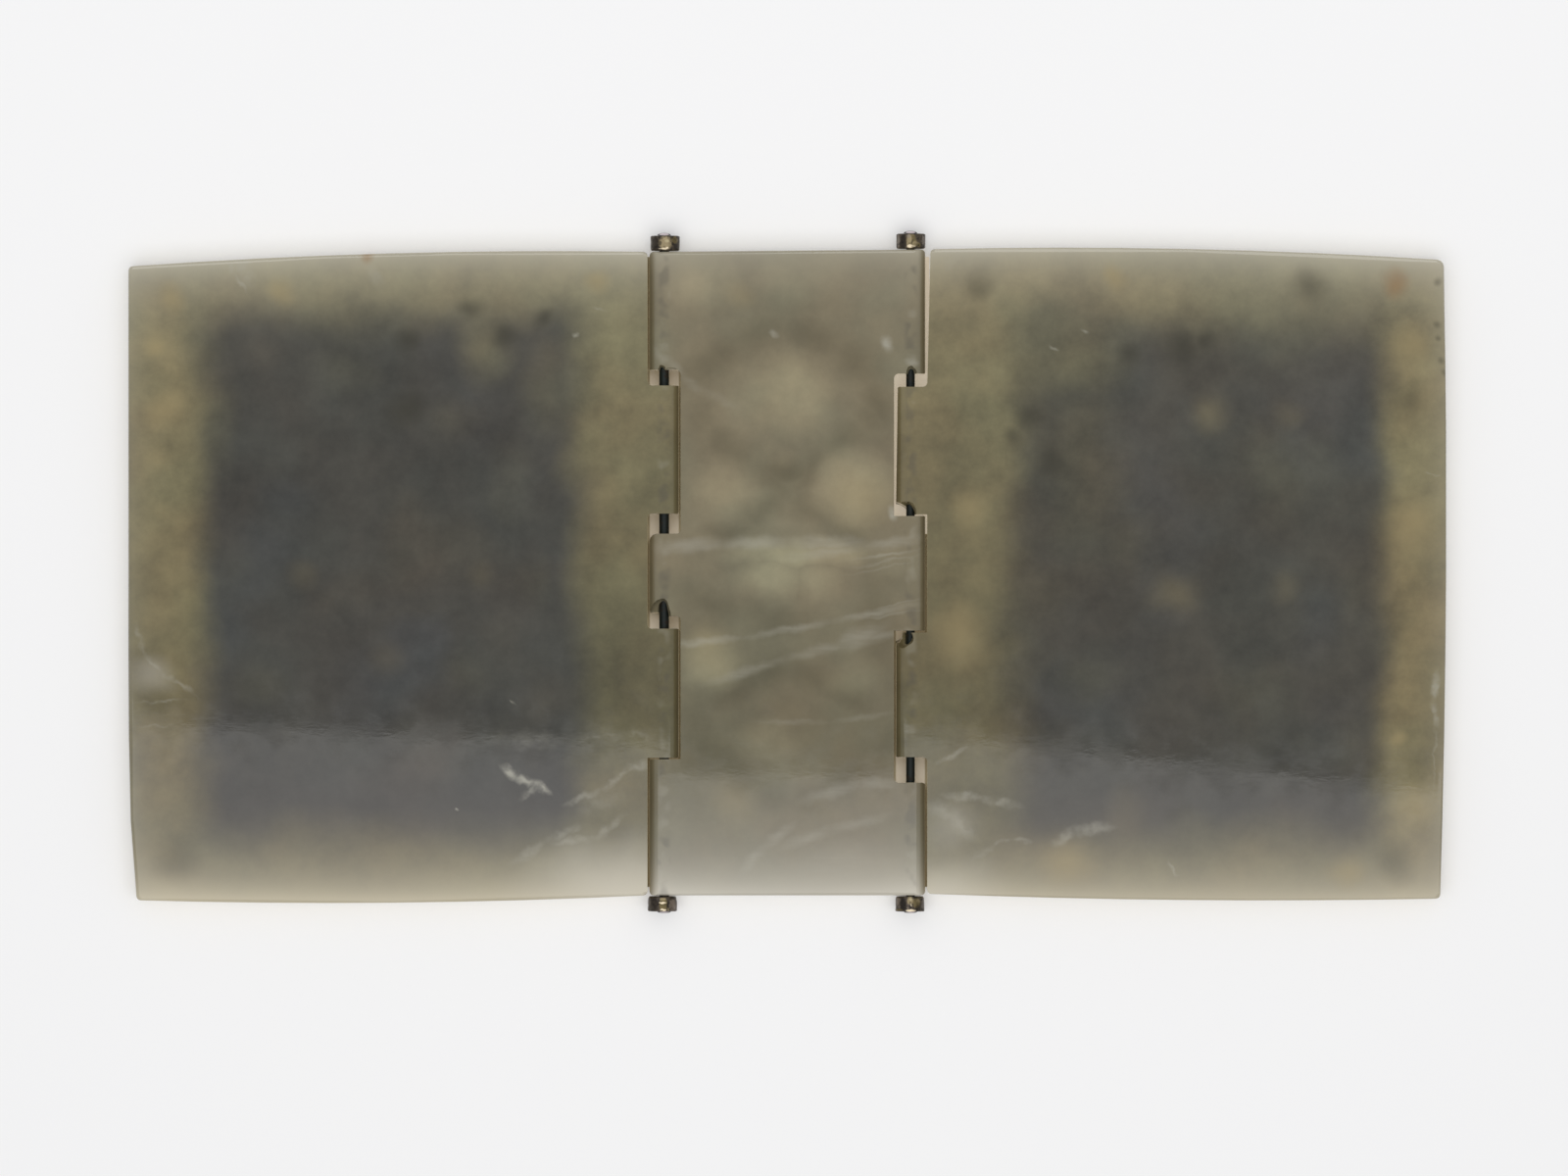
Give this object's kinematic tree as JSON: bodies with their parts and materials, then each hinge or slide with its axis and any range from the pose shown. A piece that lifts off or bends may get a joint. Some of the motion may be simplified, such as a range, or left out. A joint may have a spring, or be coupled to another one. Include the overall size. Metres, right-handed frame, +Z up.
{
  "type": "hinged jade book cover",
  "caption": "Book cover of polished jade boards, two covers hinged to a narrow spine on wire pins with metal collars, lying open flat, inner faces up.",
  "frame": {"origin": "centre of the open cover on the surface that it lies on, at the level of the boards' outer faces", "axes": "+X towards the right cover, +Y towards the head of the book, +Z up out of the inner faces"},
  "size_m": [0.2422, 0.1254, 0.0054],
  "materials": {
    "cover_jade": "polished",
    "spine_jade": "polished",
    "pin_metal": "oxidised",
    "collar_metal": "worn gilding"
  },
  "bodies": {
    "spine": {"spine": "spine_jade", "left_hinge_pin": "pin_metal", "right_hinge_pin": "pin_metal", "left_top_collar": "collar_metal", "left_bottom_collar": "collar_metal", "right_top_collar": "collar_metal", "right_bottom_collar": "collar_metal"},
    "left_cover": {"left_cover": "cover_jade"},
    "right_cover": {"right_cover": "cover_jade"}
  },
  "joints": [
    {"name": "left_hinge", "type": "hinge", "parent": "spine", "child": "left_cover", "pos_m": [-0.02265, 0, 0.0027], "axis": [0, 1, 0], "range_deg": [0, 90]},
    {"name": "right_hinge", "type": "hinge", "parent": "spine", "child": "right_cover", "pos_m": [0.02265, 0, 0.0027], "axis": [0, -1, 0], "range_deg": [0, 90]}
  ]
}
